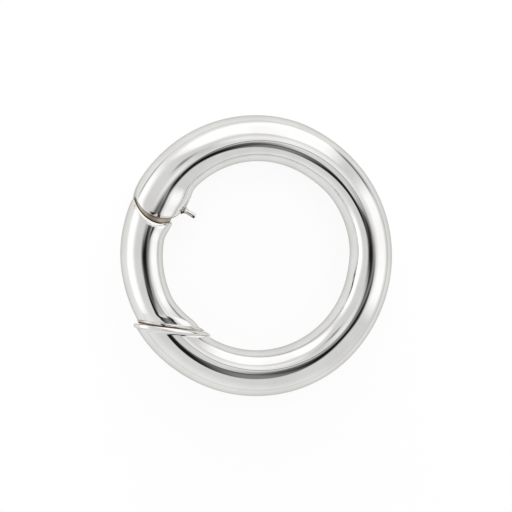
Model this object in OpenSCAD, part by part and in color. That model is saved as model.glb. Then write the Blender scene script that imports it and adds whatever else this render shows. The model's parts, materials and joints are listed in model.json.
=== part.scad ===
// Triggerless ring clasp: a polished ring of round tube that lies flat,
// with a curved gate on the left that is pushed inwards and springs shut.
// X and Y lie in the plane of the ring, Z is its thickness, z = 0 is the surface it lies on.
// Angles are counted from +X towards +Y, seen from above. All sizes in millimetres.

/* [Ring] */
// Outer diameter of the closed ring
ring_outer_d = 18; // [17.5:0.1:19]
// Diameter of the fixed part's tube
tube_d = 2.9; // [2.86:0.02:2.94]
// Diameter of the gate's tube, a little slimmer than the fixed part
gate_tube_d = 2.8; // [2.76:0.02:2.84]
// Thickness of the tube's wall
wall = 0.3; // [0.26:0.02:0.34]

/* [Hinge] */
// Where the hinge stands on the ring, in degrees
hinge_deg = 149.5; // [147:0.5:152]
// How far the hinge axis lies inside the tube's centre line
hinge_inset = 0.2; // [0.18:0.01:0.22]
// Radius of the curved seam in the gate's end
seam_r = 1.72; // [1.7:0.01:1.74]
// Clearance between the gate's curved end and the fixed knuckle
seam_gap = 0.06; // [0.04:0.01:0.08]
// Diameter of the hinge pin
pin_d = 0.6; // [0.5:0.05:0.7]
// Thickness of the gate's tongue
tongue_t = 0.7; // [0.6:0.05:0.8]
// How far the gate swings open, in degrees
open_deg = 35; // [25:1:35]

/* [Mouth] */
// Where the slanted mouth crosses the tube's centre line, in degrees
mouth_deg = 217; // [214:0.5:220]
// Slant of the mouth against the X axis, in degrees
mouth_slope = -6.9; // [-8:0.1:-6]
// Gap between gate and fixed part at the mouth
mouth_gap = 0.08; // [0.06:0.01:0.12]
// How far the fixed part's rim stands proud of its tube
rim_proud = 0.12; // [0.08:0.01:0.14]
// Width of the rims
rim_w = 0.3; // [0.24:0.02:0.36]

/* [Peg] */
// Diameter of the peg's stem
peg_d = 0.3; // [0.26:0.02:0.32]
// Diameter of the peg's flared foot
peg_foot_d = 0.58; // [0.54:0.02:0.6]
// Reach of the peg's tip from the hinge axis
peg_reach = 2.62; // [2.5:0.02:2.7]
// Width of the leaf that carries the peg
leaf_w = 0.6; // [0.56:0.02:0.64]

/* [Hidden] */
$fn = 120;

silver = [0.86, 0.86, 0.85];
tube_r = tube_d / 2;
gate_r = gate_tube_d / 2;
ring_r = ring_outer_d / 2 - tube_r;
tube_z = tube_r + rim_proud;
hinge_r = ring_r - hinge_inset;
core_overlap = 0.05;        // how far a plug bites into the wall that it is soldered in
far = 6;                    // more than any cut has to reach

// Outline of the fixed end: a wide arc set back from the hinge axis
end_arc_r = 1.88;
end_arc_s = -0.5;
end_arc_t = -0.15;
// The inner flank is straight past the hinge: a cylinder laid into the curved tube
knuckle_r = 1.35;
knuckle_t = 0.28;
knuckle_half = 2.3;
// Stretch of the ring to each side of the mouth that the slanted cut takes up, in degrees,
// and how high above the cut the fixed part is cleared
mouth_reach = 27;
mouth_cut = 4.5;
// Solid plugs in the tube ends, in degrees of the ring
plug_deg = 17;
gate_plug_deg = 27;
// Tongue, its slot and the pin
tongue_half = 0.6;
tongue_len = 2.6;
slot_clear = 0.07;          // round the tongue's edge
flat_slit = 0.05;           // beside each of its flats
slot_spare_deg = 1;         // swing past the fully open gate
pin_half = 1.1;
pin_end_gap = 0.02;
pin_fit = 0.01;             // the pin in the fixed cheeks
pin_running = 0.04;         // the tongue on the pin
// The gate's rims are lower than the fixed part's, and the one at the hinge is narrower
gate_rim_proud = 0.05;
gate_rim_w = 0.2;
// Leaf and peg, in the hinge's own frame: s along the tube, t inwards
peg_s = -0.1;
peg_foot_t = 1.77;
peg_foot_thick = 0.05;
peg_neck_t = 2.12;
leaf_arc_r = 3.5;
leaf_arc_s = -0.7;
leaf_top_t = 1.87;
leaf_foot_s = -0.7;
leaf_end_s = -2.2;
leaf_reach_deg = 34;        // stretch of the ring before the hinge that the leaf lies on
leaf_gap = 0.02;            // between the leaf and the flank that it lies on
notch_deg = 44;             // lower side of the gate's notch for the leaf
notch_side = 0.08;          // the notch is wider than the leaf by this on each side

// Hinge frame: x runs along the tube towards the gate, y points into the ring's hole
module at_hinge() {
    rotate([0, 0, hinge_deg])
        translate([hinge_r, 0, tube_z])
            rotate([0, 0, 90])
                children();
}

// Mouth frame: x runs along the slanted cut into the hole, y points up to the gate
module at_mouth() {
    translate([ring_r * cos(mouth_deg), ring_r * sin(mouth_deg), tube_z])
        rotate([0, 0, mouth_slope])
            children();
}

// Stretch of round bar bent to the ring, between two angles
module ring_bar(r, from_deg, to_deg) {
    translate([0, 0, tube_z])
        rotate_extrude(angle = to_deg - from_deg, start = from_deg)
            translate([ring_r, 0])
                circle(r = r);
}

// The same as a tube
module ring_tube(r, bore_r, from_deg, to_deg) {
    translate([0, 0, tube_z])
        rotate_extrude(angle = to_deg - from_deg, start = from_deg)
            translate([ring_r, 0])
                difference() {
                    circle(r = r);
                    circle(r = bore_r);
                }
}

// Upright cylinder in the hinge frame
module post(r, half_h, s = 0, t = 0) {
    translate([s, t, -half_h])
        cylinder(r = r, h = 2 * half_h);
}

// Straight swelling of the inner flank, from one place along the tube to another
module knuckle_bar(r, from_s, to_s) {
    translate([from_s, knuckle_t, 0])
        rotate([0, 90, 0])
            cylinder(r = r, h = to_s - from_s);
}

// Slab along the mouth, from one height above the cut to another
module mouth_slab(from_v, to_v) {
    translate([-far, from_v, -far / 2])
        cube([2 * far, to_v - from_v, far]);
}

// Round front of the knuckle, about the hinge axis
module knuckle_front() {
    post(seam_r - seam_gap, far);
}

// Outline of the fixed end, set back a little from the knuckle's front
module fixed_end() {
    intersection() {
        knuckle_front();
        post(end_arc_r, far, end_arc_s, end_arc_t);
    }
}

// All on the gate's side of the hinge that lies past an outline
module past() {
    difference() {
        translate([0, -far / 2, -far / 2])
            cube(far);
        children();
    }
}

// Room for the tongue over its whole swing
module tongue_slot() {
    reach = tongue_half + slot_clear;
    swing = open_deg + slot_spare_deg;
    long = tongue_len;
    slot_h = tongue_t + 2 * flat_slit;
    translate([0, 0, -slot_h / 2])
        linear_extrude(height = slot_h) {
            circle(r = reach);
            polygon([
                [0, -reach],
                [long, -reach],
                [long, reach * cos(swing) + long * sin(swing)],
                [long * cos(swing) - reach * sin(swing), long * sin(swing) + reach * cos(swing)],
                [-reach * sin(swing), reach * cos(swing)]
            ]);
        }
}

// Fixed part: most of the ring, with the knuckle soldered in at the hinge end
// and a raised rim round the slanted mouth
module ring_body() {
    bore_r = tube_r - wall;
    color(silver)
        difference() {
            union() {
                difference() {
                    ring_tube(tube_r, bore_r, mouth_deg - mouth_reach, hinge_deg + 360 + plug_deg);
                    at_mouth()
                        mouth_slab(-mouth_gap / 2, mouth_cut);
                    at_hinge()
                        past()
                            fixed_end();
                }
                intersection() {
                    ring_tube(tube_r + rim_proud, bore_r, mouth_deg - mouth_reach, mouth_deg + mouth_reach);
                    at_mouth()
                        mouth_slab(-mouth_gap / 2 - rim_w, -mouth_gap / 2);
                }
                difference() {
                    at_hinge()
                        knuckle_bar(knuckle_r, -knuckle_half, knuckle_half);
                    at_hinge()
                        past()
                            fixed_end();
                }
                difference() {
                    ring_bar(bore_r + core_overlap, hinge_deg - plug_deg, hinge_deg + plug_deg);
                    at_hinge()
                        past()
                            knuckle_front();
                }
            }
            at_hinge() {
                tongue_slot();
                post(pin_d / 2 + pin_fit, pin_half + pin_end_gap);
            }
        }
}

// Gate: the curved piece that swings inwards, with a tongue that reaches into
// the knuckle and a notch in its heel for the leaf
module gate() {
    bore_r = gate_r - wall;
    rim_r = gate_r + gate_rim_proud;
    color(silver)
        union() {
            difference() {
                union() {
                    ring_tube(gate_r, bore_r, hinge_deg, mouth_deg + mouth_reach);
                    intersection() {
                        ring_tube(rim_r, bore_r, hinge_deg, hinge_deg + plug_deg);
                        at_hinge()
                            post(seam_r + gate_rim_w, far);
                    }
                    intersection() {
                        ring_tube(rim_r, bore_r, mouth_deg - mouth_reach, mouth_deg + mouth_reach);
                        at_mouth()
                            mouth_slab(mouth_gap / 2, mouth_gap / 2 + rim_w);
                    }
                    ring_bar(bore_r + core_overlap, hinge_deg, hinge_deg + gate_plug_deg);
                    at_hinge()
                        knuckle_bar(knuckle_r, 0, knuckle_half);
                }
                at_hinge() {
                    post(seam_r, far);
                    heel_notch();
                }
                at_mouth()
                    mouth_slab(-far, mouth_gap / 2);
            }
            at_hinge()
                tongue();
        }
}

// Flat tongue of the gate, round about the pin
module tongue() {
    translate([0, 0, -tongue_t / 2])
        linear_extrude(height = tongue_t)
            difference() {
                union() {
                    circle(r = tongue_half);
                    translate([0, -tongue_half])
                        square([tongue_len, 2 * tongue_half]);
                }
                circle(r = pin_d / 2 + pin_running);
            }
}

// Notch in the gate's heel, so that the heel passes the leaf and the peg's foot
module heel_notch() {
    notch_w = leaf_w + 2 * notch_side;
    translate([0, 0, -notch_w / 2])
        linear_extrude(height = notch_w)
            polygon([
                [0, 0],
                [far * cos(notch_deg), far * sin(notch_deg)],
                [0, far]
            ]);
}

// Pin of the hinge, hidden in the knuckle
module hinge_pin() {
    color(silver)
        at_hinge()
            post(pin_d / 2, pin_half);
}

// Leaf on the inner flank of the fixed end, bent out over the seam into a peg
module peg_leaf() {
    color(silver)
        union() {
            difference() {
                at_hinge()
                    translate([0, 0, -leaf_w / 2])
                        linear_extrude(height = leaf_w)
                            leaf_side();
                at_hinge()
                    knuckle_bar(knuckle_r + leaf_gap, -far, far);
                ring_bar(tube_r + leaf_gap, hinge_deg - leaf_reach_deg, hinge_deg);
            }
            at_hinge()
                translate([peg_s, 0, 0])
                    rotate([-90, 0, 0])
                        peg();
        }
}

// The leaf seen from above
module leaf_side() {
    difference() {
        intersection() {
            translate([leaf_arc_s, leaf_top_t - leaf_arc_r])
                circle(r = leaf_arc_r);
            translate([leaf_end_s, 0])
                square([peg_s - leaf_end_s, leaf_top_t]);
        }
        translate([leaf_foot_s, 0])
            square([far, peg_foot_t]);
    }
}

// Flared foot, stem and round tip, turned about Z
module peg() {
    stem_r = peg_d / 2;
    foot_r = peg_foot_d / 2;
    foot_top = peg_foot_t + peg_foot_thick;
    steps = 6;
    flare = [for (i = [0 : steps])
        [stem_r + (foot_r - stem_r) * pow(1 - i / steps, 2),
            foot_top + (peg_neck_t - foot_top) * i / steps]];
    rotate_extrude()
        intersection() {
            square(far);
            union() {
                polygon(concat(
                    [[0, peg_foot_t], [foot_r, peg_foot_t]],
                    flare,
                    [[stem_r, peg_reach - stem_r], [0, peg_reach - stem_r]]
                ));
                translate([0, peg_reach - stem_r])
                    circle(r = stem_r);
            }
        }
}

ring_body();
gate();
hinge_pin();
peg_leaf();
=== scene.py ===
# A polished ring clasp that lies flat, with its curved gate on the left.
# Sizes are in millimetres here and become metres where a mesh gets its place.

import math
import json
import bpy
import bmesh
from mathutils import Matrix, Vector


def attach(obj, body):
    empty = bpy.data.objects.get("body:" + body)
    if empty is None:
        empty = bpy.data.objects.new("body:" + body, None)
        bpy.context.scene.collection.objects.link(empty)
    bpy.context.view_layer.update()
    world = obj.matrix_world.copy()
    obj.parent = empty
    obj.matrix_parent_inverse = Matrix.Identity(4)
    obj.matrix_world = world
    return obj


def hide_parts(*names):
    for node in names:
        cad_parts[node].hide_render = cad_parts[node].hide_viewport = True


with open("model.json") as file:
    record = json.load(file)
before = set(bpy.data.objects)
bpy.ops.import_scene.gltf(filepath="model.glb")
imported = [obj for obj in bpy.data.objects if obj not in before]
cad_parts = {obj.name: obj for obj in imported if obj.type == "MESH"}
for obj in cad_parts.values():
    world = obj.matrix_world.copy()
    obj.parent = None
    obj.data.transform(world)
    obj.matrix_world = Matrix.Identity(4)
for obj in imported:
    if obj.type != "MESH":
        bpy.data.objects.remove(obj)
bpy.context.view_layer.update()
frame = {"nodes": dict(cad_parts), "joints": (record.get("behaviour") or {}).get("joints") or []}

mm = 0.001
hingeX, hingeY, tubeHeight = [place / mm for place in frame["joints"][0]["pos_m"]]
hingeAngle = math.atan2(hingeY, hingeX)
hingeDistance = math.hypot(hingeX, hingeY)
hingeInset = 0.2                          # the hinge stands a little inside the tube's centre line
ringRadius = hingeDistance + hingeInset
print("frame loaded, hinge at", round(math.degrees(hingeAngle), 1), "degrees")


# Nodes

class Wire:                               # one socket of a node tree, to reckon with
    def __init__(self, tree, socket=None):
        self.tree = tree
        self.socket = socket

    def node(self, kind, settings=None, values=None, out=0):
        made = self.tree.nodes.new(kind)
        for key, value in (settings or {}).items():
            setattr(made, key, value)
        for key, value in (values or {}).items():
            if isinstance(value, Wire):
                self.tree.links.new(value.socket, made.inputs[key])
            else:
                made.inputs[key].default_value = value
        return Wire(self.tree, made.outputs[out] if len(made.outputs) else None)

    def beside(self, out):                # another output of the same node
        return Wire(self.tree, self.socket.node.outputs[out])

    def math(self, operation, *others):   # self is the first number
        numbers = dict(enumerate([self, *others]))
        return self.node("ShaderNodeMath", {"operation": operation}, numbers)

    def vector(self, operation, *others):
        vectors = dict(enumerate([self, *others]))
        return self.node("ShaderNodeVectorMath", {"operation": operation}, vectors)

    def parts(self):                      # X, Y and Z
        x = self.node("ShaderNodeSeparateXYZ", values={0: self})
        return x, x.beside("Y"), x.beside("Z")

    def blend(self, first, second):       # self is the factor between two colours
        low, high = [end if isinstance(end, Wire) else (*end, 1) for end in (first, second)]
        return self.node("ShaderNodeMix", {"data_type": "RGBA"}, {0: self, 6: low, 7: high}, 2)

    def ease(self, start, end):           # 0 below start, 1 past end, smooth between
        ranges = {"Value": self, "From Min": start, "From Max": end}
        return self.node("ShaderNodeMapRange", {"interpolation_type": "SMOOTHSTEP"}, ranges)

    def noise(self, scale, detail, roughness=0.5):
        values = {"Vector": self, "Scale": scale, "Detail": detail, "Roughness": roughness}
        return self.node("ShaderNodeTexNoise", values=values)

    def bump(self, strength, depth):      # self is the height
        values = {"Strength": strength, "Distance": depth * mm, "Height": self}
        return self.node("ShaderNodeBump", values=values)

    def __add__(self, other):
        return self.math("ADD", other)

    def __sub__(self, other):
        return self.math("SUBTRACT", other)

    def __rsub__(self, other):
        return self.node("ShaderNodeMath", {"operation": "SUBTRACT"}, {0: other, 1: self})

    def __mul__(self, other):
        return self.math("MULTIPLY", other)

    def __truediv__(self, other):
        return self.math("DIVIDE", other)

    def __rtruediv__(self, other):
        return self.node("ShaderNodeMath", {"operation": "DIVIDE"}, {0: other, 1: self})

    __radd__ = __add__
    __rmul__ = __mul__


# Meshes

def meshFrom(made, name):                 # hands a finished bmesh over to a plain mesh
    mesh = bpy.data.meshes.new(name)
    made.to_mesh(mesh)
    made.free()
    return mesh


def meshObject(name, mesh, smooth=None):  # None leaves each face as smooth or flat as it is
    mesh.name = name
    if smooth is not None:
        mesh.polygons.foreach_set("use_smooth", [smooth] * len(mesh.polygons))
    piece = bpy.data.objects.new(name, mesh)
    bpy.context.scene.collection.objects.link(piece)
    return piece


def arcPoints(x, q, radius, start, end, steps):
    turns = [math.radians(start + (end - start) * i / steps) for i in range(steps + 1)]
    return [(x + radius * math.cos(turn), q + radius * math.sin(turn)) for turn in turns]


def straight(start, end, steps):          # points between two places, without the first
    return [tuple(a + (b - a) * i / steps for a, b in zip(start, end))
            for i in range(1, steps + 1)]


def inMetres(x, y, z):                    # z from the tube's centre line
    return x * mm, y * mm, (z + tubeHeight) * mm


def skin(made, rings):                    # faces between neighbouring loops of corners
    for here, there in zip(rings, rings[1:]):
        sides = max(len(here), len(there))
        for i in range(sides):
            j = (i + 1) % sides
            corners = [here[i % len(here)], here[j % len(here)],
                       there[j % len(there)], there[i % len(there)]]
            made.faces.new(list(dict.fromkeys(corners)))


def turned(name, outline, sides, seams):
    # an outline of (along, radius) turned about the X axis, closed by a point at each end;
    # a seam is its place along X, its reach, and how dark the shade painted there is towards the
    # hole and away from it
    made = bmesh.new()
    rings = []
    for x, q in outline:
        around = [math.tau * (i + 0.5) / sides for i in range(sides)] if q > 0 else [0]
        rings.append([made.verts.new((x, q * math.cos(a), q * math.sin(a))) for a in around])
    skin(made, rings)
    bmesh.ops.recalc_face_normals(made, faces=made.faces)
    mesh = meshFrom(made, name)
    # the seam attribute holds how dark the painted shade is at each corner
    nearness = mesh.attributes.new("seam", "FLOAT", "POINT")      # 1 at a seam, 0 a little way off
    widest = max(q for x, q in outline)
    for i, vertex in enumerate(mesh.vertices):
        side = ((vertex.co.y / widest + 1) / 2) ** 2
        marks = [max(0, 1 - abs(vertex.co.x - at) / reach) * (inner + (outer - inner) * side)
                 for at, reach, inner, outer in seams]
        nearness.data[i].value = max(marks)
    return meshObject(name, mesh, smooth=True)


def settled(piece, name):                 # the evaluated shape as a plain mesh
    graph = bpy.context.evaluated_depsgraph_get()
    mesh = bpy.data.meshes.new_from_object(piece.evaluated_get(graph), depsgraph=graph)
    bpy.data.objects.remove(piece)
    return meshObject(name, mesh)


def geometryTree(name, sizes):
    tree = bpy.data.node_groups.new(name, "GeometryNodeTree")
    tree.interface.new_socket("Geometry", in_out="INPUT", socket_type="NodeSocketGeometry")
    for label, value in sizes.items():
        kind = "NodeSocketMaterial" if isinstance(value, bpy.types.Material) else "NodeSocketFloat"
        tree.interface.new_socket(label, in_out="INPUT", socket_type=kind)
    tree.interface.new_socket("Geometry", in_out="OUTPUT", socket_type="NodeSocketGeometry")
    start = Wire(tree).node("NodeGroupInput")
    return tree, {label: start.beside(label) for label in ["Geometry", *sizes]}


def closeTree(tree, shape, material):
    real = shape.node("GeometryNodeRealizeInstances", values={"Geometry": shape})
    done = real.node("GeometryNodeSetMaterial", values={"Geometry": real, "Material": material})
    end = tree.nodes.new("NodeGroupOutput")
    tree.links.new(done.socket, end.inputs["Geometry"])


def grown(piece, tree, sizes):            # runs a tree on a piece with these sizes
    modifier = piece.modifiers.new("shape", "NODES")
    modifier.node_group = tree
    for item in tree.interface.items_tree:
        if item.in_out == "INPUT" and item.name in sizes:
            modifier[item.identifier] = sizes[item.name]
    return settled(piece, piece.name)


# Seams: where a cut crosses the ring, as an angle about the ring's centre

def arcSeam(size, rho, radius, angle, distance):       # an upright cylinder cuts the tube
    inside = (rho * rho + distance * distance - radius * radius) / (rho * distance * 2)
    return size[angle] + inside.math("ARCCOSINE")


def lineSeam(size, rho, level):           # a slanted flat cut
    return size["Mouth Normal"] + (level / rho).math("ARCCOSINE")


def gateSeams(size, rho, depth, rest):    # hinge end and mouth end, each from its own depth
    near = depth.math("MINIMUM", size["Parallel"])
    hinge = arcSeam(size, rho, near + size["Seam Radius"], "Hinge Angle", size["Hinge Distance"])
    nearMouth = rest.math("MINIMUM", size["Parallel"])
    mouth = lineSeam(size, rho, size["Mouth Level"] + size["Mouth Gap"] / 2 + nearMouth)
    return hinge + (depth - near) / rho, mouth - (rest - nearMouth) / rho


def bodySeams(size, rho, depth, rest):    # mouth end first, then the end at the hinge
    near = depth.math("MINIMUM", size["Parallel"])
    mouth = lineSeam(size, rho, size["Mouth Level"] - size["Mouth Gap"] / 2 - near)
    front = arcSeam(size, rho, size["Front Radius"], "Hinge Angle", size["Hinge Distance"])
    back = arcSeam(size, rho, size["End Radius"], "End Angle", size["End Distance"])
    hinge = front.math("SMOOTH_MIN", back, size["Corner"])
    return mouth + (depth - near) / rho, hinge + math.tau - rest / rho


def knuckleSeams(size, rho, depth, rest):
    front = arcSeam(size, rho, size["Front Radius"], "Hinge Angle", size["Hinge Distance"])
    return front - rest / rho, front - rest / rho


fades = {
    "lip": (0.1, 0.6),                    # from the mouth
    "fuller": (0.45, 0.9),                # cosine of the angle from the thin side
    "thin": (0.6, 0.98),
    "ends": (0.2, 0.8),                   # share of the length between the two seams
}


def bendToRing(name, sizes, seamsOf, hingeFirst):
    # the straight turned tube is laid round the ring, its ends along the seams
    tree, size = geometryTree(name, sizes)
    x, y, z = size["Geometry"].node("GeometryNodeInputPosition").parts()
    rest = size["Length"] - x
    fromHinge = x if hingeFirst else rest
    fromMouth = rest if hingeFirst else x
    inwards = y.math("MINIMUM", 0)
    outwards = y - inwards

    slow = size["Slow Swell"] * (1 - fromHinge.ease(size["Swell From"], size["Slow Swell To"]))
    inner = size["Swell"] * (1 - fromHinge.ease(size["Swell From"], size["Swell To"]))
    inner = inner + size["Mouth In"] * (1 - fromMouth.ease(0, size["Mouth In To"]))
    inner = inner - slow * inwards / size["Tube Radius"]      # more on the flank than on the crest

    fromFar = fromMouth / size["Ring Radius"] - size["Thin At"]
    far = fromFar.math("COSINE")
    outer = size["Mouth Swell"] * (1 - fromMouth.ease(0, size["Mouth Swell To"]))
    outer = outer + size["Mouth Lip"] * (1 - fromMouth.ease(*fades["lip"]))
    outer = outer + size["Fuller"] * (1 - far.ease(*fades["fuller"]))

    across = y + (inwards * inner + outwards * outer) / size["Tube Radius"]
    rho = size["Ring Radius"] + across * (1 - size["Thin"] * far.ease(*fades["thin"]))
    first, last = seamsOf(size, rho, x, rest)
    turn = first + (last - first) * (x / size["Length"]).ease(*fades["ends"])
    spot = inMetres(rho * turn.math("COSINE"), rho * turn.math("SINE"), z)
    there = x.node("ShaderNodeCombineXYZ", values=dict(enumerate(spot)))
    values = {"Geometry": size["Geometry"], "Position": there}
    closeTree(tree, there.node("GeometryNodeSetPosition", values=values), size["Metal"])
    return tree


# Materials: colours, sizes of their patterns, and how much each adds to the roughness

silver = {
    "bright": (0.93, 0.93, 0.925), "toned": (0.88, 0.875, 0.865),
    # cream, brown and dark are painted shade near the seams
    "cream": (0.80, 0.74, 0.65), "brown": (0.30, 0.235, 0.165), "dark": (0.075, 0.055, 0.04),
    "clouds": 420, "hairs": 2600, "hairStretch": (1, 0.12, 1), "pits": 900,
    "roughness": 0.035, "hairRough": 0.05, "pitRough": 0.03, "seamRough": 0.18,
    "bump": 0.02, "bumpDepth": 0.02,
}
# the knuckle's colours are painted shade and painted reflection inside the crescent gap
warmMetal = {
    "light": (0.55, 0.49, 0.41), "deep": (0.44, 0.385, 0.31), "dark": (0.24, 0.19, 0.14),
    "clouds": 1500, "roughness": 0.22, "cloudRough": 0.2, "bump": 0.15, "bumpDepth": 0.02,
}
leafMetal = {
    "bright": (0.92, 0.92, 0.91), "toned": (0.84, 0.83, 0.81),
    # warm and dark are painted shade on the peg
    "warm": (0.36, 0.31, 0.25), "dark": (0.07, 0.05, 0.04),
    "clouds": 1400, "roughness": 0.06, "cloudRough": 0.08, "seamRough": 0.3,
    "bump": 0.05, "bumpDepth": 0.02,
}
wireMetal = {
    "bright": (0.85, 0.85, 0.84), "toned": (0.72, 0.71, 0.69),
    "lines": 9000, "lineStretch": (1, 1, 0.05), "roughness": 0.15, "lineRough": 0.2,
    "bump": 0.2, "bumpDepth": 0.01,
}
edgeTint = (0.72, 0.71, 0.69, 1)          # of the metal seen at a grazing angle


def newMaterial(name):
    material = bpy.data.materials.new(name)
    material.use_nodes = True
    material.node_tree.nodes.clear()
    return material, Wire(material.node_tree)


def finishMaterial(start, colour, roughness, normal):
    values = {"Base Color": colour, "Metallic": 1, "Roughness": roughness, "Normal": normal,
              "Specular Tint": edgeTint}
    shader = start.node("ShaderNodeBsdfPrincipled", values=values)
    start.node("ShaderNodeOutputMaterial", values={"Surface": shader})


# reads the darkness of the shade painted near seams, in gaps and under rims
def seamNearness(start):
    return start.node("ShaderNodeAttribute", {"attribute_name": "seam"}, out="Fac")


def polishedSilver():
    look = silver
    material, start = newMaterial("polished silver")
    place = start.node("ShaderNodeTexCoord", out="Object")
    cloud = place.noise(look["clouds"], 3)
    hairs = place.vector("MULTIPLY", look["hairStretch"]).noise(look["hairs"], 5, 0.7)
    pits = place.noise(look["pits"], 2)
    # painted shade in the gaps and under the rims near each seam, turning the silver cream, brown
    # and dark; the metal is also rougher there
    seamShade = seamNearness(start) * (cloud * 0.5 + 0.75)
    metal = cloud.ease(0.35, 0.65).blend(look["bright"], look["toned"])
    warm = seamShade.ease(0.05, 0.4).blend(metal, look["cream"])
    brown = seamShade.ease(0.3, 0.65).blend(warm, look["brown"])
    colour = seamShade.ease(0.6, 0.9).blend(brown, look["dark"])
    roughness = hairs.ease(0.6, 0.72) * look["hairRough"] + pits.ease(0.5, 0.8) * look["pitRough"]
    roughness = roughness + seamShade * look["seamRough"] + look["roughness"]
    height = hairs * 0.4 + cloud
    finishMaterial(start, colour, roughness, height.bump(look["bump"], look["bumpDepth"]))
    return material


def warmKnuckle():                        # its skin in the crescent gap, coloured warm and dark as painted shade and painted reflection of the gap
    look = warmMetal
    material, start = newMaterial("warm knuckle")
    cloud = start.node("ShaderNodeTexCoord", out="Object").noise(look["clouds"], 4)
    seam = seamNearness(start)
    metal = cloud.ease(0.3, 0.7).blend(look["light"], look["deep"])
    # painted shade along the knuckle's front edge, darkest at the gap
    colour = seam.ease(0, 1).blend(metal, look["dark"])
    roughness = cloud * look["cloudRough"] + look["roughness"]
    finishMaterial(start, colour, roughness, cloud.bump(look["bump"], look["bumpDepth"]))
    return material


def leafSilver():
    look = leafMetal
    material, start = newMaterial("leaf silver")
    cloud = start.node("ShaderNodeTexCoord", out="Object").noise(look["clouds"], 3)
    # painted shade on the peg's lower side, tip and foot; the leaf has none
    seamShade = seamNearness(start)
    metal = cloud.ease(0.3, 0.7).blend(look["bright"], look["toned"])
    warm = seamShade.ease(0, 0.5).blend(metal, look["warm"])
    colour = seamShade.ease(0.5, 1).blend(warm, look["dark"])
    roughness = cloud * look["cloudRough"] + seamShade * look["seamRough"] + look["roughness"]
    finishMaterial(start, colour, roughness, cloud.bump(look["bump"], look["bumpDepth"]))
    return material


def drawnWire():
    look = wireMetal
    material, start = newMaterial("drawn wire")
    place = start.node("ShaderNodeTexCoord", out="Object")
    lines = place.vector("MULTIPLY", look["lineStretch"]).noise(look["lines"], 3)
    colour = lines.ease(0.3, 0.7).blend(look["bright"], look["toned"])
    roughness = lines * look["lineRough"] + look["roughness"]
    finishMaterial(start, colour, roughness, lines.bump(look["bump"], look["bumpDepth"]))
    return material


silverMaterial = polishedSilver()
knuckleMaterial = warmKnuckle()
leafMaterial = leafSilver()
wireMaterial = drawnWire()
print("materials made")


# The fixed part of the ring

body = {
    "tube": 1.45, "bore": 1.15, "length": 38.4,
    "beadStart": 0.01, "beadCurve": 0.47, "beadFrom": 132, "beadTo": 104,
    "beadProud": 0.09, "beadBack": 0.03, "beadEnd": 0.245,
    "fall": 0.012, "fallReach": 0.24, "lip": 0.05, "endLip": 0.06,
    "knuckleBore": 1.2, "plugDepth": 1.3, "web": 0.4,
    "sides": 128, "lengthSteps": 190, "boreSteps": 60, "mouthZone": 1, "mouthSteps": 6,
}
capMiddle = 0.5                           # a ring of corners on the flat end of a bore


def bodyOutline():
    size = body
    end = size["length"]
    tube = size["tube"]
    bore = size["bore"]
    lip = size["lip"]
    zone = size["mouthZone"]
    web = end - size["plugDepth"] - size["web"]
    points = [(web, 0), (web, capMiddle), (web, bore)]
    points += straight((web, bore), (zone, bore), size["boreSteps"])
    points += straight((zone, bore), (lip, bore), size["mouthSteps"])
    points += arcPoints(lip, bore + lip, lip, 270, 180, 5)

    curve = size["beadCurve"]             # the bead's face slopes to the cut, with its crest inside
    proud = size["beadProud"]
    start = size["beadStart"] - curve * math.cos(math.radians(size["beadFrom"]))
    centre = tube + proud - curve * math.sin(math.radians(size["beadTo"]))
    points += arcPoints(start, centre, curve, size["beadFrom"], size["beadTo"], 10)
    crest = points[-1][0]
    points += arcPoints(crest, tube + proud / 2, proud / 2, 80, -50, 6)
    points.append((crest + size["beadBack"], tube))

    fallStart = end - size["fallReach"]
    points += straight(points[-1], (fallStart, tube), size["lengthSteps"])
    endLip = size["endLip"]
    steps = 18
    for i in range(1, steps + 1):
        x = fallStart + (size["fallReach"] - endLip) * i / steps
        points.append((x, tube - size["fall"] * (i / steps) ** 2))
    points += arcPoints(end - endLip, tube - size["fall"] - endLip, endLip, 75, 0, 8)

    plug = end - size["plugDepth"]
    bore = size["knuckleBore"]
    points += arcPoints(end - lip / 2, bore + lip / 2, lip / 2, 0, -90, 3)
    points += straight((end - lip / 2, bore), (plug, bore), 8)
    points += [(plug, capMiddle), (plug, 0)]
    return points


def polar(s, t):                          # in the hinge's own frame: s to the gate, t inwards
    along = Vector((-math.sin(hingeAngle), math.cos(hingeAngle)))
    inwards = Vector((-math.cos(hingeAngle), -math.sin(hingeAngle)))
    return Vector((hingeX, hingeY)) + along * s + inwards * t


endCentre = polar(-0.5, -0.15)            # middle of the fixed end's curved edge
ringSizes = {
    "Ring Radius": ringRadius, "Tube Radius": body["tube"], "Length": body["length"],
    "Hinge Angle": hingeAngle, "Hinge Distance": hingeDistance,
    "Seam Radius": 1.72, "Front Radius": 1.66, "Corner": 0.006,
    "End Angle": math.atan2(endCentre.y, endCentre.x), "End Distance": endCentre.length,
    "End Radius": 1.92,
    "Mouth Normal": math.radians(83.1),   # square to the slanted cut
    "Mouth Level": -5.2355,               # of the cut, from the ring's centre
    "Mouth Gap": 0.035, "Parallel": 0.45,
    "Swell": 0.25, "Swell From": 0.8, "Swell To": 2.5, "Slow Swell": 0.15, "Slow Swell To": 8,
    "Mouth Swell": 0.07, "Mouth Swell To": 5.5, "Mouth Lip": 0,
    "Mouth In": 0.15, "Mouth In To": 0.27,
    "Fuller": 0.055, "Thin": 0.06, "Thin At": math.radians(153),
    "Metal": silverMaterial,
}


def ringBody():
    # painted shade at the mouth, at the bead, and under the hinge end's lip on the inner side
    bead = (body["beadEnd"], 0.02, 0.15, 0.15)
    seams = [(0, 0.05, 0.4, 0.8), bead, (body["length"], 0.1, 1, -0.6)]
    blank = turned("ring_tube", bodyOutline(), body["sides"], seams)
    return grown(blank, bendToRing("bend fixed part", ringSizes, bodySeams, False), ringSizes)


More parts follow.
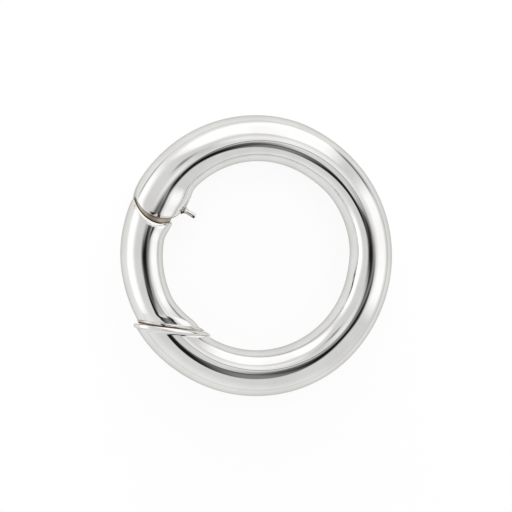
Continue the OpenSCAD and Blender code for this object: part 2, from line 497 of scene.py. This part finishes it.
ringTube = ringBody()
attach(ringTube, "ring")
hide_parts("ring_body")
print("fixed part bent,", len(ringTube.data.polygons), "faces")


# Cuts that stand upright in the hinge's frame

def prism(name, outline, half):           # an outline with as much height above as below the middle
    made = bmesh.new()
    places = [polar(s, t) for s, t in outline]
    floors = [[made.verts.new(inMetres(p.x, p.y, z)) for p in places] for z in (-half, half)]
    made.faces.new(floors[0][::-1])
    made.faces.new(floors[1])
    skin(made, floors)
    bmesh.ops.recalc_face_normals(made, faces=made.faces)
    return meshObject(name, meshFrom(made, name), smooth=False)


def withoutPart(piece, cutter):           # one shape cut out of another
    cut = piece.modifiers.new("cut", "BOOLEAN")
    cut.operation = "DIFFERENCE"
    cut.solver = "EXACT"
    cut.object = cutter
    done = settled(piece, piece.name)
    bpy.data.objects.remove(cutter)
    return done


# The gate

gate = {
    "tube": 1.36, "bore": 1.08, "length": 8.95, "boreDepth": 5.2,
    "plugIn": 0.03, "chamfer": 0.02, "rim": 0.17, "rimSlope": 0.22, "rimCurve": 1.1,
    "fall": 0.1, "fallReach": 0.6, "mouthRim": 0.19, "mouthProud": 0.035, "lip": 0.05,
    "sides": 128, "lengthSteps": 50, "boreSteps": 24,
}
notch = {"half": 0.38, "slope": 44, "reach": 4}        # lets the heel pass the leaf and the peg


def gateOutline():
    size = gate
    end = size["length"]
    tube = size["tube"]
    bore = size["bore"]
    lip = size["lip"]
    chamfer = size["chamfer"]
    steps = 14
    fromEdge = [size["rim"] * (1 - i / steps) for i in range(steps + 1)]
    drop = [size["rimSlope"] * d + size["rimCurve"] * d * d for d in fromEdge]
    edge = tube - drop[0]
    points = [(size["plugIn"], q) for q in (0, capMiddle, bore)] + [(0, bore + lip)]
    points += straight(points[-1], (0, edge - chamfer), 4)
    points += [(chamfer * 0.3, edge - chamfer * 0.3)]
    for i, d in enumerate(drop):
        points.append((chamfer + (size["rim"] - chamfer) * i / steps, tube - d))

    fallStart = end - size["mouthRim"] - size["fallReach"]
    points += straight(points[-1], (fallStart, tube), size["lengthSteps"])
    for i in range(1, steps + 1):
        share = i / steps
        points.append((fallStart + size["fallReach"] * share, tube - size["fall"] * share ** 2))
    top = tube - size["fall"] + size["mouthProud"]
    points += arcPoints(end - size["mouthRim"] + lip, top - lip, lip, 160, 90, 5)
    points += arcPoints(end - lip, top - lip, lip, 90, 0, 6)

    points += arcPoints(end - lip, bore + lip, lip, 0, -90, 5)
    deep = end - size["boreDepth"]
    points += straight((end - lip, bore), (deep, bore), size["boreSteps"])
    points += [(deep, capMiddle), (deep, 0)]
    return points


gateSizes = {
    **ringSizes,
    "Tube Radius": gate["tube"], "Length": gate["length"],
    "Swell": 0.31, "Swell From": -0.1, "Swell To": 1.15, "Slow Swell": 0,
    "Mouth Swell": -0.09, "Mouth Swell To": 6, "Mouth Lip": 0.1,
    "Mouth In": 0.34, "Mouth In To": 2.5, "Fuller": 0, "Thin": 0,
}


def gateTube():
    end = gate["length"]
    step = end - gate["mouthRim"] - 0.01
    # painted shade in the gap at the hinge rim, at the mouth end, and on the outer side of the step
    # behind the mouth rim
    seams = [(0, 0.03, 0.7, 0.7), (end, 0.13, 0.6, 0.8), (step, 0.05, 0, 0.85)]
    blank = turned("gate_tube", gateOutline(), gate["sides"], seams)
    tube = grown(blank, bendToRing("bend gate", gateSizes, gateSeams, True), gateSizes)
    slope = math.radians(notch["slope"])
    reach = notch["reach"]
    outline = [(0, 0), (reach * math.cos(slope), reach * math.sin(slope)), (0, reach)]
    return withoutPart(tube, prism("notch", outline, notch["half"]))


gateSkin = gateTube()
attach(gateSkin, "swing_gate")
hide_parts("gate")
print("gate bent,", len(gateSkin.data.polygons), "faces")


# Knuckle and tongue

knuckle = {"radius": 1.19, "front": 1.685, "length": 1.25, "edge": 0.05, "middle": 0.6, "sides": 96}
tongue = {
    "half": 0.6, "length": 2.6, "thickness": 0.7, "hole": 0.34,
    "slotSide": 0.07, "slotFlat": 0.05, "swing": 36,
}


def knuckleOutline():
    size = knuckle
    end = size["length"]
    edge = size["edge"]
    radius = size["radius"]
    points = [(0, 0), (0, size["middle"]), (0, radius)]
    points += straight((0, radius), (end - edge, radius), 12)
    points += arcPoints(end - edge, radius - edge, edge, 90, 0, 4)
    points += straight((end, radius - edge), (end, 0), 10)
    return points


def slotOutline():                        # room for the tongue over its whole swing
    reach = tongue["half"] + tongue["slotSide"]
    far = tongue["length"]
    cosine = math.cos(math.radians(tongue["swing"]))
    sine = math.sin(math.radians(tongue["swing"]))
    back = arcPoints(0, 0, reach, 90 + tongue["swing"], 270, 16)
    ahead = [(far, -reach), (far, reach * cosine + far * sine),
             (far * cosine - reach * sine, far * sine + reach * cosine)]
    return back + ahead


def knuckleSolid():
    sizes = {**ringSizes, "Length": knuckle["length"], "Front Radius": knuckle["front"],
             "Metal": knuckleMaterial}
    # painted shade along the knuckle's front edge in the gap
    seams = [(knuckle["length"], 0.12, 0.8, 0.8)]
    blank = turned("knuckle", knuckleOutline(), knuckle["sides"], seams)
    solid = grown(blank, bendToRing("bend knuckle", sizes, knuckleSeams, False), sizes)
    half = tongue["thickness"] / 2 + tongue["slotFlat"]
    return withoutPart(solid, prism("slot", slotOutline(), half))


def tonguePlate():
    half = tongue["half"]
    nose = arcPoints(0, 0, half, 90, 270, 24)
    outline = nose + [(tongue["length"], -half), (tongue["length"], half)]
    hole = arcPoints(0, 0, tongue["hole"], 0, 360, 32)[:-1]
    plate = prism("gate_tongue", outline, tongue["thickness"] / 2)
    drilled = withoutPart(plate, prism("hole", hole, tongue["thickness"]))
    drilled.data.materials.clear()
    drilled.data.materials.append(silverMaterial)
    return drilled


knuckleBlock = knuckleSolid()
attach(knuckleBlock, "ring")
gateTongue = tonguePlate()
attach(gateTongue, "swing_gate")
pin = frame["nodes"]["hinge_pin"]
pin.data.materials.clear()
pin.data.materials.append(wireMaterial)
print("knuckle and tongue cut")


# Peg with its flared foot, and the thin leaf that carries it

peg = {
    "s": -0.09, "t": 1.66, "length": 0.9, "stem": 0.155, "edge": 0.035,
    "footRadius": 0.33, "footEdge": 0.05, "flare": 0.33, "flareCurve": 2.6,
    "dimple": 0.09, "dimpleDepth": 0.07,
    # how far the painted shade reaches at the tip and under the foot, and how dark the lower side is
    # painted
    "tipDark": 0.16, "footDark": 0.13, "sideDark": 0.5,
    "sides": 48,
}
leaf = {
    "from": 134.6, "to": 150.2, "half": 0.3, "thick": 0.12, "crown": 1.45, "round": 0.35,
    "start": 5.97, "rise": 0.34, "riseFrom": 133.6, "riseTo": 144.6, "radius": 5.7,
}


def pegOutline():
    size = peg
    foot = size["footRadius"]
    stem = size["stem"]
    edge = size["edge"]
    end = size["length"]
    points = [(0.03, 0), (0.025, 0.12), (0, foot - 0.03), (0.01, foot), (size["footEdge"], foot)]
    steps = 14
    for i in range(1, steps + 1):         # hollow flare from the foot down to the stem
        share = i / steps
        x = size["footEdge"] + size["flare"] * share
        points.append((x, stem + (foot - 0.02 - stem) * (1 - share) ** size["flareCurve"]))
    points += straight(points[-1], (end - edge, stem), 12)
    points += arcPoints(end - edge, stem - edge, edge, 75, 0, 4)
    points += [(end, size["dimple"] + 0.015), (end - 0.01, size["dimple"])]
    points += arcPoints(end, 0, size["dimpleDepth"], 130, 180, 4)[:-1]
    return points + [(end - size["dimpleDepth"], 0)]


def pegShade(x, y, z):                    # how dark a place on the peg is painted: painted shade on its lower side, at the tip, in the dimple and under the foot
    size = peg
    off = math.hypot(y, z)
    low = max(0, (0.85 * y - 0.25 * z) / off + 0.15) if off > 0 else 0
    hollow = x > size["length"] - size["dimpleDepth"] - 0.001 and off < size["dimple"] + 0.02
    tip = x > size["length"] - size["tipDark"] and low > 0.3
    under = x < size["footDark"] and low > 0.2
    return 1 if hollow or tip or under else size["sideDark"] * low


def pegShape():
    # painted shade at the foot's back edge, more is added from pegShade
    blank = turned("peg", pegOutline(), peg["sides"], [(0.02, 0.07, 1, 1)])
    dark = blank.data.attributes["seam"].data
    for i, vertex in enumerate(blank.data.vertices):
        dark[i].value = max(dark[i].value, pegShade(*vertex.co))
    start = polar(peg["s"], peg["t"])
    inwards = polar(0, 1) - polar(0, 0)
    along = polar(1, 0) - polar(0, 0)
    turn = Matrix(((inwards.x, along.x, 0), (inwards.y, along.y, 0), (0, 0, 1))).to_4x4()
    move = Matrix.Translation((start.x, start.y, tubeHeight))
    blank.data.transform(Matrix.Diagonal((mm, mm, mm, 1)) @ move @ turn)
    return blank


def leafRadius(angle):                    # how far the leaf's face is from the ring's centre
    share = (angle - leaf["riseFrom"]) / (leaf["riseTo"] - leaf["riseFrom"])
    share = min(1, max(0, share))
    return leaf["start"] - leaf["rise"] * share * share * (3 - 2 * share)


def leafShape():
    steps = 60
    across = 12
    made = bmesh.new()
    rows = []
    for i in range(steps + 1):
        angle = leaf["from"] + (leaf["to"] - leaf["from"]) * i / steps
        travel = math.radians(angle - leaf["from"]) * leaf["radius"]
        reach = min(1, travel / leaf["round"] + 0.02)
        half = leaf["half"] * math.sqrt(1 - (1 - reach) ** 2)
        outer = [half * (2 * j / across - 1) for j in range(across + 1)]
        loop = [(leafRadius(angle) + z * z / leaf["crown"] / 2, z) for z in outer]
        loop += [(r + leaf["thick"], z) for r, z in reversed(loop)]
        x = math.cos(math.radians(angle))
        y = math.sin(math.radians(angle))
        rows.append([made.verts.new(inMetres(r * x, r * y, z)) for r, z in loop])
    skin(made, rows)
    made.faces.new(rows[0])
    made.faces.new(rows[-1][::-1])
    bmesh.ops.recalc_face_normals(made, faces=made.faces)
    mesh = meshFrom(made, "leaf")
    mesh.attributes.new("seam", "FLOAT", "POINT")
    return meshObject("leaf", mesh, smooth=True)


def pegAndLeaf():
    made = bmesh.new()
    for part in (pegShape(), leafShape()):
        made.from_mesh(part.data)
        bpy.data.objects.remove(part)
    mesh = meshFrom(made, "peg_and_leaf")
    mesh.materials.append(leafMaterial)
    return meshObject("peg_and_leaf", mesh, smooth=True)


pegPiece = pegAndLeaf()
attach(pegPiece, "ring")
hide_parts("peg_leaf")
print("peg and leaf made")


# Floor, light and camera

floorLook = {
    "half": 400,
    "paper": (0.93, 0.93, 0.925, 1), "glow": (0.85, 0.85, 0.845, 1), "glowShare": 0.75,
    "bounce": (1.35, 1.35, 1.35, 1), "sheet": (1, 1, 1, 1), "bounceShare": 0.16,
}
lightColour = (1, 0.997, 0.99, 1)
worldLight = 0.8


def studioFloor():
    look = floorLook
    half = look["half"] * mm
    corners = [(-half, -half, 0), (half, -half, 0), (half, half, 0), (-half, half, 0)]
    mesh = bpy.data.meshes.new("floor")
    mesh.from_pydata(corners, [], [(0, 1, 2, 3)])
    floor = meshObject("floor", mesh, smooth=False)
    material, start = newMaterial("pale floor")
    seen = start.node("ShaderNodeLightPath", out="Is Camera Ray")
    paper = start.node("ShaderNodeBsdfDiffuse", values={"Color": look["paper"]})
    glow = start.node("ShaderNodeEmission", values={"Color": look["glow"]})
    pale = start.node("ShaderNodeMixShader", values={0: look["glowShare"], 1: paper, 2: glow})
    bounce = start.node("ShaderNodeBsdfDiffuse", values={"Color": look["bounce"]})
    sheet = start.node("ShaderNodeEmission", values={"Color": look["sheet"]})
    white = start.node("ShaderNodeMixShader", values={0: look["bounceShare"], 1: sheet, 2: bounce})
    both = start.node("ShaderNodeMixShader", values={0: seen, 1: pale, 2: white})
    start.node("ShaderNodeOutputMaterial", values={"Surface": both})
    mesh.materials.append(material)


# The tent is a dome of lit cloth close round the ring, which camera rays pass. Each mark on it
# lies where polished metal that leans by so many degrees, to the right and up, would show it.
# Most numbers from "glow" to the last stroke come from a least-squares fit of these marks to the
# photo's bands, made by a separate script, and were then rounded and partly changed by hand.
tent = {
    "radius": 32, "sides": 96, "rows": 40, "skirt": 3,
    "shotFrom": (-0.1994, 0, 0.9799),     # from the ring to the photo's viewpoint, fixed in the room
    "cloth": 0.695,
    "hem": 0.13, "hemLean": (28, 44), "hemFades": (0.2, 0.9),
    "foot": 0.09, "footDark": 0.16,
    "panelSoft": 9,
    "panels": [                           # low and high are where each begins and ends
        {"toward": 4, "half": 31, "low": (4, 16), "high": (29, 37), "gain": 0.38},
        {"toward": 174, "half": 29, "low": (31, 41), "high": (53, 60), "gain": 0.36},
        {"toward": 94, "half": 38, "low": (0, 1), "high": (37, 45), "gain": 0.39,
         "slope": 0.4, "edge": (13.2, 17.2)},          # the upper one has a slanted edge
    ],
    "glow": {"at": (-2.2, 5.1), "fade": (1.5, 12.5), "gain": 0.28},
    "lens": {"at": (-5.6, -9.3), "fade": (10.5, 12.5), "dark": 0.985},
    "glass": {"at": (-4.5, -5.8), "fade": (6.4, 7.6), "dark": 0.83},
    "faintCore": 0.2,
    "faint": [                            # where the ring round the glass fades
        {"at": (-1.4, -17), "reach": 10.2, "less": 0.31},
        {"at": (-15.8, 2.7), "reach": 8.5, "less": 0.9},
    ],
    "glint": {"at": (-1, -4.8), "turn": 18, "half": 10.7, "wide": 4.7, "core": 0.8},
    "strokeCore": 0.3,
    "strokes": [                          # dark folds of the cloth
        {"at": (26, 25.5), "turn": -60, "half": 12, "wide": 4, "dark": 0.85},
        {"at": (-43, 27), "turn": 58, "half": 13, "wide": 5, "dark": 0.6},
        {"at": (-11.7, 13), "turn": -22, "half": 4.3, "wide": 2.7, "dark": 0.6},
        {"at": (-4.4, 7.8), "turn": -54, "half": 8.7, "wide": 2.8, "dark": 0.33},
        {"at": (-2.9, 17), "turn": -32, "half": 8.3, "wide": 2.8, "dark": 0.2},
        {"at": (2, -5), "turn": 68, "half": 8.3, "wide": 4, "dark": 0.9},
        {"at": (4.2, -2.9), "turn": -45, "half": 5, "wide": 2.3, "dark": 0.85},
        {"at": (-9.8, 0), "turn": 0, "half": 10.3, "wide": 5.7, "dark": 0.95},
    ],
}


def tentLight(start):
    place = start.node("ShaderNodeTexCoord", out="Object")
    outwards = place.vector("SUBTRACT", (0, 0, tubeHeight * mm)).vector("NORMALIZE")
    x, y, z = outwards.vector("ADD", tent["shotFrom"]).vector("NORMALIZE").parts()
    flat = (x * x + y * y + 0.000001).math("SQRT")
    lean = flat.math("ARCTAN2", z) * math.degrees(1)
    east = x / flat
    north = y / flat
    across = east * lean
    up = north * lean

    def near(at, start, end):             # 1 inside a round spot, 0 outside it
        right = across - at[0]
        high = up - at[1]
        return 1 - (right * right + high * high).math("SQRT").ease(start, end)

    def lengthways(mark):                 # places along and across a slanted mark
        cosine = math.cos(math.radians(mark["turn"]))
        sine = math.sin(math.radians(mark["turn"]))
        right = across - mark["at"][0]
        high = up - mark["at"][1]
        return right * cosine + high * sine, high * cosine - right * sine

    level = near(tent["glow"]["at"], *tent["glow"]["fade"]) * tent["glow"]["gain"] + tent["cloth"]
    level = level + lean.ease(*tent["hemLean"]) * (1 - east.ease(*tent["hemFades"])) * tent["hem"]
    for panel in tent["panels"]:
        toward = math.radians(panel["toward"])
        faces = east * math.cos(toward) + north * math.sin(toward)
        outer = math.cos(math.radians(panel["half"] + tent["panelSoft"]))
        inner = math.cos(math.radians(panel["half"] - tent["panelSoft"]))
        part = faces.ease(outer, inner) * lean.ease(*panel["low"])
        part = part * (1 - lean.ease(*panel["high"])) * panel["gain"]
        if "slope" in panel:
            part = part * (up + across * panel["slope"]).ease(*panel["edge"])
        level = level + part

    for stroke in tent["strokes"]:
        along, aside = lengthways(stroke)
        core = stroke["half"] * tent["strokeCore"]
        middle = 1 - along.math("ABSOLUTE").ease(core, stroke["half"])
        body = 1 - aside.math("ABSOLUTE").ease(0, stroke["wide"])
        level = level * (1 - middle * body * stroke["dark"])

    disc = near(tent["lens"]["at"], *tent["lens"]["fade"])
    glass = near(tent["glass"]["at"], *tent["glass"]["fade"])
    ring = disc * (1 - glass) * tent["lens"]["dark"]
    for spot in tent["faint"]:
        core = spot["reach"] * tent["faintCore"]
        ring = ring * (1 - near(spot["at"], core, spot["reach"]) * spot["less"])
    along, aside = lengthways(tent["glint"])
    along = along / tent["glint"]["half"]
    aside = aside / tent["glint"]["wide"]
    shade = (along * along + aside * aside).math("SQRT").ease(tent["glint"]["core"], 1)
    level = level * (1 - ring) * (1 - disc * glass * shade * tent["glass"]["dark"])
    height = outwards.parts()[2]
    foot = 1 - height.math("ABSOLUTE").ease(0, tent["foot"])
    return level * (1 - foot * tent["footDark"])


def studioTent():
    made = bmesh.new()
    sides = tent["sides"]
    rings = []
    for q, z in arcPoints(0, 0, tent["radius"], 90, -tent["skirt"], tent["rows"]):
        around = [math.tau * i / sides for i in range(sides)] if q > 0.01 else [0]
        corners = [inMetres(q * math.cos(a), q * math.sin(a), z) for a in around]
        rings.append([made.verts.new(corner) for corner in corners])
    skin(made, rings[::-1])
    mesh = meshFrom(made, "tent")
    cloth = meshObject("tent", mesh, smooth=True)
    cloth.visible_camera = False
    material, start = newMaterial("tent cloth")
    values = {"Color": lightColour, "Strength": tentLight(start)}
    light = start.node("ShaderNodeEmission", values=values)
    start.node("ShaderNodeOutputMaterial", values={"Surface": light})
    mesh.materials.append(material)


def studioLight():
    world = bpy.data.worlds.new("studio")
    world.use_nodes = True
    world.node_tree.nodes.clear()
    start = Wire(world.node_tree)
    back = start.node("ShaderNodeBackground", values={"Color": lightColour, "Strength": worldLight})
    start.node("ShaderNodeOutputWorld", values={"Surface": back})
    bpy.context.scene.world = world


shot = {
    "tilt": 11.5, "distance": 135,        # from straight above, towards the gate's side
    "seen": 33.01, "sensor": 36,          # width of the picture at the ring
    "left": 0.098, "down": 0.025,         # of the ring's centre
    "near": 1, "far": 2000,
}


def photoCamera():
    data = bpy.data.cameras.new("camera")
    data.sensor_width = shot["sensor"]
    data.lens = shot["sensor"] * shot["distance"] / shot["seen"]
    data.clip_start = shot["near"] * mm
    data.clip_end = shot["far"] * mm
    camera = bpy.data.objects.new("camera", data)
    bpy.context.scene.collection.objects.link(camera)
    tilt = math.radians(shot["tilt"])
    right = Vector((math.cos(tilt), 0, math.sin(tilt)))
    upright = Vector((0, 1, 0))
    backwards = Vector((-math.sin(tilt), 0, math.cos(tilt)))
    turn = Matrix((right, upright, backwards)).transposed().to_4x4()
    aim = Vector((0, 0, tubeHeight)) - right * shot["left"] - upright * shot["down"]
    camera.matrix_world = Matrix.Translation((aim + backwards * shot["distance"]) * mm) @ turn
    bpy.context.scene.camera = camera


studioFloor()
studioTent()
studioLight()
photoCamera()
bpy.context.scene.view_settings.view_transform = "Standard"
bpy.context.scene.view_settings.look = "None"
print("studio set")
